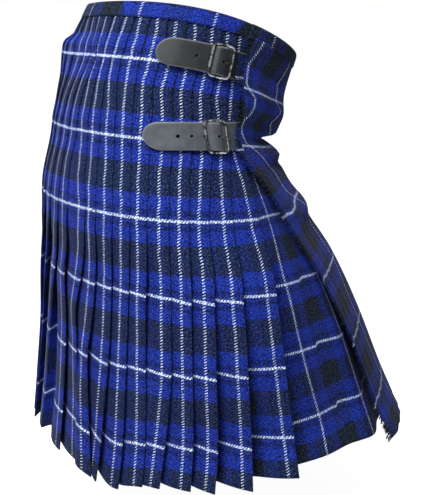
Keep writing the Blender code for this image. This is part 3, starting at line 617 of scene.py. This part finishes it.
# ---- Over-apron ----------------------------------------------------------------------------------
# The outer end of the cloth, flat across the front from the left hip to a fringed edge on the right
# hip. The straps pull it in, so it bulges between them and pinches at the lower one.
OVER_ROWS = [  # height; the fringed edge's angle; mm off the ovals there and in steps from it
    (0.0, 128.5, 20, 20, 15, 11, 6, 1), (0.0475, 128.0, 20, 13, 8, 4, 1, 0),
    (0.1445, 126.5, 19, 10, 5, 1, 0, 0), (0.2415, 123.5, 18, 10, 5, 1, 0, 0),
    (0.3385, 122.0, 9, 7, 4, 1, 0, 0), (0.388, 117.5, 6, 5, 2, 0, 0, 0),
    (0.415, 110.5, 6.5, 5.5, 3, 1, 0, 0), (0.43, 107.8, 7, 5.5, 3, 1, 0, 0),
    (0.448, 106.4, 8.5, 6, 3, 1, 0, 0), (0.466, 106.4, 8.5, 6, 3, 1, 0, 0),
    (0.48, 107.8, 7.5, 6, 4, 2, 1, 1), (0.5, 107.6, 7, 6, 5, 3, 1, 1),
    (0.52, 105.2, 7.5, 6, 5, 3, 1, 1), (0.535, 103.8, 8.5, 6, 4, 3, 1, 1),
    (0.565, 103.4, 8.5, 6, 4, 2, 1, 1), (0.582, 105.4, 5.5, 4, 3, 2, 1, 1),
    (0.605, 106.8, 2, 2, 1, 1, 1, 1),
]
ROW_STEP, ROW_STEPS = 6.0, 5             # those steps, in degrees, and how many
APRON_FOLDS = (  # angle, height, reach round, reach up, mm out
    (150.0, 0.5, 24.0, 0.02, 5), (150.0, 0.447, 26.0, 0.011, -10), (164.0, 0.4515, 30.0, 0.0068, -18.5),
    (148.0, 0.428, 22.0, 0.007, 4), (150.0, 0.408, 20.0, 0.007, -4), (150.0, 0.336, 30.0, 0.02, 9),
    (128.0, 0.468, 12.0, 0.006, -3), (124.0, 0.512, 9.0, 0.008, 3), (132.0, 0.545, 14.0, 0.007, -2),
)
FOLDS_START = 11.0           # the folds die out over this many degrees towards the edge
APRON_STRIPE = [  # the first pale stripe in from the edge, as height and angle
    (-0.01, 150.5), (0.081, 149.0), (0.178, 147.0), (0.234, 151.0), (0.335, 150.5), (0.369, 139.0),
    (0.402, 136.0), (0.425, 126.5), (0.437, 121.0), (0.441, 116.0), (0.462, 110.5), (0.476, 110.0),
    (0.484, 116.0), (0.498, 118.0), (0.512, 117.0), (0.525, 111.0), (0.554, 110.0), (0.581, 115.0),
    (0.598, 117.0), (0.61, 118.0),
]
NEXT_STRIPE = [  # the one beyond it, drawn towards it where the cloth gathers
    (-0.01, 171.0), (0.1445, 171.0), (0.2415, 174.0), (0.335, 174.0), (0.369, 166.0), (0.402, 162.0),
    (0.425, 154.0), (0.44, 147.0), (0.47, 139.0), (0.479, 135.0), (0.504, 145.0), (0.515, 137.0),
    (0.546, 138.5), (0.576, 145.0), (0.601, 147.0), (0.61, 147.0),
]
FAR_STRIPE = [  # and the next, near the middle of the front, which falls straighter
    (-0.01, 192.0), (0.1445, 194.0), (0.2415, 196.0), (0.335, 196.0), (0.402, 191.0), (0.4355, 187.5),
    (0.5, 184.0), (0.61, 182.0),
]
APRON_SHIFT = [  # by height, how far its cross stripes sit too low: near the edge, beyond
    (-0.01, 0.0, 0.0), (0.2415, 0.0, 0.0), (0.3385, -0.001, -0.018), (0.388, -0.004, -0.012),
    (0.4355, -0.005, -0.005), (0.48, 0.004, 0.006), (0.5325, 0.012, 0.016), (0.605, 0.011, 0.013),
]
NEAR_REACH, NEAR_FADE = 4.0, 22.0        # degrees from the edge that count as near, and its fade
SHIFT_FADES, SHIFT_FADE = 185.0, 45.0    # where the shift starts to fade, and over how many degrees
FRINGE = 0.013


def apron_out(angle, height):
    """How far the over-apron stands off the ovals."""
    edge, *stand = np.moveaxis(through(OVER_ROWS, height), -1, 0)
    past = np.clip((angle - edge) / ROW_STEP, 0.0, ROW_STEPS)
    index = past.astype(int)
    low, high = np.choose(index, stand), np.choose(index + 1, stand + stand[-1:])
    folds = sum(out * np.exp(-((angle - middle) / wide) ** 2 - ((height - level) / tall) ** 2)
                for middle, level, wide, tall, out in APRON_FOLDS)
    return (low + (high - low) * ease(past - index) + folds * ease((angle - edge) / FOLDS_START)) / 1000


edge = through(OVER_ROWS, LEVELS)[:, 0]
last = through(STRIPE_TABLE, LEVELS)[:, -1]
seam = 360.0 + last - degrees_for(PLEAT_FACE - STRIPE_TO_EDGE, last, LEVELS)
start = edge + degrees_for(FRINGE, edge, LEVELS)
angles = start[:, None] + (seam - start)[:, None] * np.linspace(0.0, 1.0, 200) ** 1.15
heights = LEVELS[:, None]
skin = on_kilt(angles, heights, apron_out(angles, heights))
normals = np.cross(np.gradient(skin, axis=1), np.gradient(skin, axis=0))
normals *= CLOTH_HALF / np.linalg.norm(normals, axis=-1)[..., None]
per_degree = 1.0 / degrees_for(1.0, angles, heights)
step = np.diff(angles, axis=1) * 0.5 * (per_degree[:, 1:] + per_degree[:, :-1])
place = np.concatenate([np.zeros((len(LEVELS), 1)), np.cumsum(step, axis=1)], axis=1)
knots = []
for path in (APRON_STRIPE, NEXT_STRIPE, FAR_STRIPE):
    stripe = np.interp(LEVELS, *np.transpose(path))
    knots.append([np.interp(s, a, p) for s, a, p in zip(stripe, angles, place)])
repeats = [-1.0, 0.0, SETT, 2 * SETT, 2 * SETT + 1.0]
apron_u = 1.5 * SETT - np.array([np.interp(p, [k[0] - 1.0, *k, k[-1] + 1.0], repeats)
                                 for p, k in zip(place, np.transpose(knots))])
near, beyond = np.moveaxis(through(APRON_SHIFT, heights), -1, 0)
away = ease((angles - edge[:, None] - NEAR_REACH) / NEAR_FADE)
shift = (near + (beyond - near) * away) * (1 - ease((angles - SHIFT_FADES) / SHIFT_FADE))
over = cloth_body("over_apron_cloth", [skin + normals, skin - normals], apron_u, heights + shift)
over.data.materials.append(tartan_cloth("over_apron_tartan", warp_share=0.43))
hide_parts("over_apron")
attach(over, "root")


# ---- Fringe --------------------------------------------------------------------------------------
# The over-apron's right edge with the long threads drawn out, which leaves a short brush of the
# cross threads. Each tuft has the colour of the band that it comes from, with the long threads'
# colours mixed in along it to darken it: painted shade.
FRINGE_PITCH, TUFT_RADIUS = 0.00055, 0.00055
TUFT_CORNERS = (0.0, 2.094, 4.189)       # radians
FRINGE_SEWN = 0.001          # of each thread, still in the cloth
random = np.random.default_rng(7)
count = int((BAND_EDGE - HEM) / FRINGE_PITCH)
roots = HEM + (np.arange(count) + random.uniform(-0.4, 0.4, count)) * FRINGE_PITCH
roots = np.clip(roots, HEM + 0.0005, BAND_EDGE)


def tube(points, faces, rings):
    """Add a closed tube to a mesh from its rings, each a list of points."""
    base, sides, last = len(points), len(rings[0]), len(rings) - 1
    points.extend(np.reshape(rings, (-1, 3)).tolist())
    for k in range(last):
        for j in range(sides):
            a, b = base + sides * k + j, base + sides * k + (j + 1) % sides
            faces.append((a, b, b + sides, a + sides))
    faces.append(tuple(base + j for j in reversed(range(sides))))
    faces.append(tuple(base + sides * last + j for j in range(sides)))


# The threads lie in clumps of uneven length. They sag and sway together, and each curls and lifts.
strands, strand_faces, strand_uv = [], [], []
for height in roots:
    edge = through(OVER_ROWS, height)[0]
    clump = math.sin(height * 900.0) * math.sin(height * 370.0)
    reach = FRINGE + FRINGE_SEWN + 0.002 * clump + random.uniform(-0.003, 0.001)
    sway = -0.0012 + 0.0015 * math.cos(height * 900.0) + random.uniform(-0.0015, 0.0015)
    curl, lift = random.uniform(-0.0012, 0.0012), random.uniform(-0.0004, 0.0018)
    first = edge + degrees_for(FRINGE + FRINGE_SEWN, edge, height)
    shares = np.linspace(0.0, 1.0, 5)
    angle = first - degrees_for(reach * shares, edge, height)
    level = np.maximum(height + sway * shares ** 1.5 + curl * np.sin(shares * 3.0), HEM)
    centres = on_kilt(angle, level, apron_out(angle, level) + lift * shares ** 2)
    rings = []
    for k, share in enumerate(shares):
        ahead = centres[min(k + 1, 4)] - centres[max(k - 1, 0)]
        side = unit(np.cross(ahead, [0.0, 0.0, 1.0]))
        rise = unit(np.cross(ahead, side))
        radius = TUFT_RADIUS * (1 - 0.4 * share)
        rings.append([centres[k] + (side * math.cos(turn) + rise * math.sin(turn)) * radius
                      for turn in TUFT_CORNERS])
        strand_uv += [(reach * share, height)] * 3
    tube(strands, strand_faces, rings)
fringe = mesh_body("fringe_threads", strands, strand_faces, strand_uv)
# Painted shade: the long threads' colours are mixed into each tuft, which darkens the fringe.
fringe.data.materials.append(tartan_cloth("fringe_yarn_painted_shade", warp_share=0.6, weft_only=0.35))
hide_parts("apron_fringe")
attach(fringe, "root")


# ---- Waistband -----------------------------------------------------------------------------------
# A narrow strip of the same cloth sewn round the top, over the raw edges of pleats and aprons, and
# topstitched along its lower edge. It is cut along the cloth, so its stripes miss the pleats' ones.
DROP, BAND_END = 0.605, -253.2
BAND_STRIPE, BAND_STRIPE_APART = 52.0, 36.2        # one pale stripe's angle, and from one to the next
BAND_WEFT, BAND_DARK_WEFT = 0.0186, -0.0114        # up the tartan, where the band's cross stripes are read: royal, then dark
# The band reads the dark part across the back, and from these angles on under the over-apron and at the
# end, so it is darker there.
DARK_BACK, DARK_UNDER, DARK_END = (-90.0, 38.0), 97.0, -200.0
BACK_FADE, DARK_FADE = 8.0, 10.0
# By angle, how far out the middle of the band's thickness lies, and half that thickness.
BAND_PATH = ((241.0, -0.004, 0.0012), (125.0, -0.004, 0.0012), (112.0, -0.0036, 0.0014),
             (101.0, -0.0014, 0.0022), (-100.0, -0.0014, 0.0022), (-114.0, -0.0004, 0.0016),
             (-125.0, 0.0012, 0.0012), (-240.0, 0.0012, 0.0012), (BAND_END, 0.0022, 0.0012))
TOP_THINNER, BAND_PUFF = 0.35, 0.0004  # the top edge's lost share, and the outside's swell
path, path_out, path_half = np.array(BAND_PATH)[::-1].T
turn = np.concatenate([np.arange(a, b, -1.0) for a, b in zip(path[::-1], path[-2::-1])] + [[BAND_END]])
# A section runs up the outside, over the top and down the inside.
profile = np.linspace(0.0, 1.0, 9)
ups = np.concatenate([profile, [1.0], profile[::-1]])
sides = np.concatenate([np.full(9, 1.0), [0.0], np.full(9, -1.0)])
thin = 1 - TOP_THINNER * (ups > 0.99)
puff = BAND_PUFF * np.concatenate([np.sin(np.pi * profile), np.zeros(10)])
level = BAND_EDGE + (DROP - BAND_EDGE) * ups
points, faces = [], []
tube(points, faces, [
    on_kilt(angle, level, out + sides * half * thin + puff)
    for angle, out, half in zip(turn, np.interp(turn, path, path_out), np.interp(turn, path, path_half))])
band_u = (turn - BAND_STRIPE) / BAND_STRIPE_APART * SETT + SETT / 2
dark = (1 - ease((turn - DARK_BACK[1]) / BACK_FADE)) * (turn > DARK_BACK[0])
dark += ease((turn - DARK_UNDER) / DARK_FADE) + ease((DARK_END - turn) / DARK_FADE)
weft = BAND_WEFT + (BAND_DARK_WEFT - BAND_WEFT) * dark
band_lengths = np.stack(np.broadcast_arrays(band_u[:, None], weft[:, None] + level - BAND_EDGE), -1)
band = mesh_body("waistband_cloth", points, faces, band_lengths.reshape(-1, 2))
band.data.materials.append(tartan_cloth("waistband_tartan"))
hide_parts("waistband")
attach(band, "root")

# A row of topstitching in dark thread holds the band's lower edge down.
STITCH_PITCH, STITCH_LONG, THREAD = 0.0034, 0.0025, 0.0003
STITCH_UP = 0.0022  # from the band's lower edge
STITCHES_FROM, STITCHES_TO = 236.0, -250.0
around = np.arange(6) * math.pi / 3
stitch_points, stitch_faces = [], []
angle = STITCHES_FROM
while angle > STITCHES_TO:
    half = degrees_for(STITCH_LONG / 2, angle, BAND_EDGE)
    rest = np.interp(angle, path, path_out + path_half)
    tube(stitch_points, stitch_faces, [
        on_kilt(angle + share * half, BAND_EDGE + STITCH_UP + np.sin(around) * THREAD * thick,
                rest + 0.00012 + (0.4 + np.cos(around)) * THREAD * thick)
        for share, thick in ((-1.0, 0.3), (-0.6, 1.0), (0.6, 1.0), (1.0, 0.3))])
    angle -= degrees_for(STITCH_PITCH, angle, BAND_EDGE)
stitches = mesh_body("waistband_stitches", stitch_points, stitch_faces)
thread, tree, shader = new_material("navy_thread")
place = add_node(tree, "TexCoord").outputs["Object"]
ply = add_node(tree, "TexWave", {"Vector": place, "Scale": 900.0, "Distortion": 1.0}).outputs["Fac"]
feed(shader, {"Base Color": colour_mix(tree, ply, rgb(8, 12, 34), rgb(22, 32, 78)), "Roughness": 0.7,
              "Normal": bump(tree, ply, 0.4, 0.0001)})
stitches.data.materials.append(thread)
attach(stitches, "root")


# ---- Straps --------------------------------------------------------------------------------------
# Two black leather straps, sewn on under the over-apron's edge. Each runs back over its buckle's
# centre bar, has a row of punched holes and a round tip, and is bevelled, its rim paler: painted highlight.
STRAP_HALF_WIDE, STRAP_HALF_THICK, STRAP_TIP = 0.0175, 0.0012, 0.022
STRAPS = (  # name; on the hip: angle, height, slope; along it: tip, root; holes; painted sheen
    ("upper", 95.6, 0.5465, 0.0, -0.08, 0.05, 3, 0.06),
    ("lower", 97.4, 0.449, 6.5, -0.09, 0.04, 4, 0.4),
)
HOLE_FIRST, HOLE_PITCH, HOLE_RADIUS = 0.0025, 0.0165, 0.0022
STRAP_COURSE = (  # along the strap from its buckle's centre bar, and how far off the cloth
    (-0.2, 0.0024), (-0.095, 0.0026), (-0.07, 0.0035), (-0.0475, 0.0044), (-0.0134, 0.0044),
    (-0.009, 0.0052), (-0.005, 0.0081), (-0.0025, 0.0089), (0.0, 0.0091), (0.0025, 0.0089),
    (0.005, 0.0081), (0.009, 0.0052), (0.0134, 0.0044), (0.022, 0.0024), (0.032, 0.002), (0.1, 0.002),
)


def on_hip(strap, ahead, up, out):
    """Points by distance along a strap, across it and off the cloth."""
    _, angle, height, slope = strap[:4]
    slope = math.radians(slope)
    level = height + ahead * math.sin(slope)
    turn = angle + degrees_for(ahead * math.cos(slope), angle, height)
    lean = degrees_for(STRAP_HALF_WIDE * math.sin(slope), angle, height)
    reach = STRAP_HALF_WIDE * math.cos(slope)
    low, high = (on_kilt(turn + side * lean, level - side * reach, out + 0.0005) for side in (1, -1))
    across = (high - low) / np.linalg.norm(high - low, axis=-1)[..., None]
    return (low + high) / 2 + across * np.asarray(up)[..., None]


def punched(body, cutters):
    """Cut holes right through a body, and take the cutters away."""
    for cutter in cutters:
        modifier = body.modifiers.new("punch", "BOOLEAN")
        modifier.object, modifier.operation, modifier.solver = cutter, "DIFFERENCE", "EXACT"
    ready = body.evaluated_get(bpy.context.evaluated_depsgraph_get())
    mesh = bpy.data.meshes.new_from_object(ready)
    body.modifiers.clear()
    body.data = mesh
    for cutter in cutters:
        bpy.data.objects.remove(cutter, do_unlink=True)


# Pebbled grain with fine creases and dyed through, paled by a painted sheen (most on the lower strap) and
# by a painted highlight at the rim.
grain_group, enter, leave = node_group(
    "leather_grain", [("Place", "Vector", None), ("Rim highlight", "Float", 0.0), ("Painted sheen", "Float", 0.2)],
    [("Colour", "Color"), ("Roughness", "Float"), ("Grain", "Float")])
compute = partial(maths, grain_group)
pebbles = add_node(grain_group, "TexVoronoi", {"Vector": enter.outputs["Place"], "Scale": 1300.0})
patches = noise(grain_group, enter.outputs["Place"], 90.0, 5.0)
dye_and_sheen = colour_mix(grain_group, patches, rgb(14, 15, 17), rgb(34, 36, 40))
# Painted sheen: the leather is paled towards grey by the given share, most on the lower strap, in place of
# the light it catches from above.
sheen_share = compute("MULTIPLY", enter.outputs["Painted sheen"], compute("ADD", patches, 0.45))
dye_and_sheen = colour_mix(grain_group, sheen_share, dye_and_sheen, rgb(118, 126, 134))
# Painted highlight: the bevelled rim is paled towards light grey, as if it caught the light.
rim_highlight = compute("MULTIPLY", enter.outputs["Rim highlight"], 0.55)
feed(leave, {"Colour": colour_mix(grain_group, rim_highlight, dye_and_sheen, rgb(124, 128, 132)),
             "Roughness": compute("ADD", compute("MULTIPLY", patches, 0.25), 0.34),
             "Grain": compute("ADD", pebbles.outputs["Distance"], patches)})


def leather(name, painted_sheen, rim):
    """Black leather, paled by a painted sheen; rim says whether the piece maps the distance in from its
    rim, where a painted highlight pales it.
    """
    material, tree, shader = new_material(name)
    place = add_node(tree, "TexCoord").outputs["Object"]
    grain = add_node(tree, "Group", {"Painted sheen": painted_sheen, "Place": place}, node_tree=grain_group)
    if rim:
        lengths = add_node(tree, "UVMap", uv_map="thread").outputs["UV"]
        from_rim = add_node(tree, "SeparateXYZ", {0: lengths}).outputs[1]
        # The painted rim highlight is full at the rim and gone 2.2 mm in.
        feed(grain, {"Rim highlight": spread(tree, from_rim, 0.0006, 0.0022, 1.0, 0.0)})
    feed(shader, {"Base Color": grain.outputs["Colour"], "Roughness": grain.outputs["Roughness"],
                  "Specular IOR Level": 0.35, "Normal": bump(tree, grain.outputs["Grain"], 0.35, 0.0002)})
    return material


# From one side of a strap to the other, closest at its rims.
HALF_ACROSS = np.array([0.3, 0.6, 0.8, 0.9, 0.95, 0.985, 1.0])
ACROSS = np.concatenate([-HALF_ACROSS[::-1], [0.0], HALF_ACROSS])[:, None]
BEVEL_WIDE, BEVEL_DEEP = 0.0016, 0.0009
for strap in STRAPS:
    name, _, _, _, tip, root, holes, painted_sheen = strap
    aheads = np.concatenate([tip + STRAP_TIP * (1 - np.cos(np.linspace(0.14, np.pi / 2, 14))),
                             np.linspace(tip + STRAP_TIP, root, 110)[1:]])
    short = np.clip(1 - (aheads - tip) / STRAP_TIP, 0.0, 1.0)
    off = through(STRAP_COURSE, aheads)[:, 0]
    run = np.stack([np.gradient(aheads), np.gradient(off)])
    run /= np.linalg.norm(run, axis=0)
    rim = STRAP_HALF_WIDE * (1 - np.sqrt(short ** 2 + ACROSS ** 2 * (1 - short ** 2)))
    rounded = BEVEL_DEEP * np.clip(1 - rim / BEVEL_WIDE, 0.0, 1.0) ** 2
    up = ACROSS * STRAP_HALF_WIDE * np.sqrt(1 - short ** 2)
    sides = [on_hip(strap, aheads - run[1] * lift, up, off + run[0] * lift)
             for lift in (STRAP_HALF_THICK - rounded, -STRAP_HALF_THICK + 0.3 * rounded)]
    body = cloth_body("leather_strap_" + name, sides, aheads, rim)
    ring = np.linspace(0.0, 2 * np.pi, 21)[:-1]
    cutters = []
    for number in range(holes):
        at = HOLE_FIRST - number * HOLE_PITCH
        points, faces = [], []
        tube(points, faces, [
            on_hip(strap, at + HOLE_RADIUS * np.cos(ring), HOLE_RADIUS * np.sin(ring), out)
            for out in (-0.0002, 0.014)])
        cutters.append(mesh_body("punch", points, faces, smooth=False))
    punched(body, cutters)
    body.data.set_sharp_from_angle(angle=math.radians(50.0))
    body.data.materials.append(leather("strap_leather_" + name, painted_sheen, True))
    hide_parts("strap_" + name)
    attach(body, "root")
    bpy.data.objects["tab_" + name].material_slots[0].material = leather("tab_leather_" + name, 0.05, False)


# ---- Buckles -------------------------------------------------------------------------------------
# Nickel-plated steel: a rounded rectangular frame with a centre bar, and a wire prong that turns on it.
# The frames are bright, with hairline scratches and painted patches of dark reflection; the prongs are
# painted duller, a painted dark reflection.
def nickel(name, dark_reflection, bright):
    """Plated metal, patched from a dark shade to a bright one: painted reflections."""
    material, tree, shader = new_material(name)
    place = add_node(tree, "TexCoord").outputs["Object"]
    # Painted reflections: the plate's colour is patched between dark and bright, as if it mirrored dark and
    # bright surroundings.
    patch = spread(tree, noise(tree, place, 150.0, 2.0), 0.44, 0.56)
    feed(shader, {"Base Color": colour_mix(tree, patch, dark_reflection, bright), "Metallic": 1.0,
                  "Roughness": maths(tree, "SUBTRACT", 0.3, maths(tree, "MULTIPLY", patch, 0.2)),
                  "Normal": bump(tree, noise(tree, place, 1400.0, 3.0), 0.12, 0.0001)})
    return material


frame_plate = nickel("nickel_plate_painted_reflections", rgb(96, 96, 98), WHITE)
# The prongs are painted darker, as if they mirrored the black leather around them.
prong_plate = nickel("nickel_painted_dark", rgb(60, 60, 62), rgb(120, 120, 122))
for name in ("upper", "lower"):
    bpy.data.objects["buckle_frame_" + name].material_slots[0].material = frame_plate
    bpy.data.objects["buckle_prong_" + name].material_slots[0].material = prong_plate
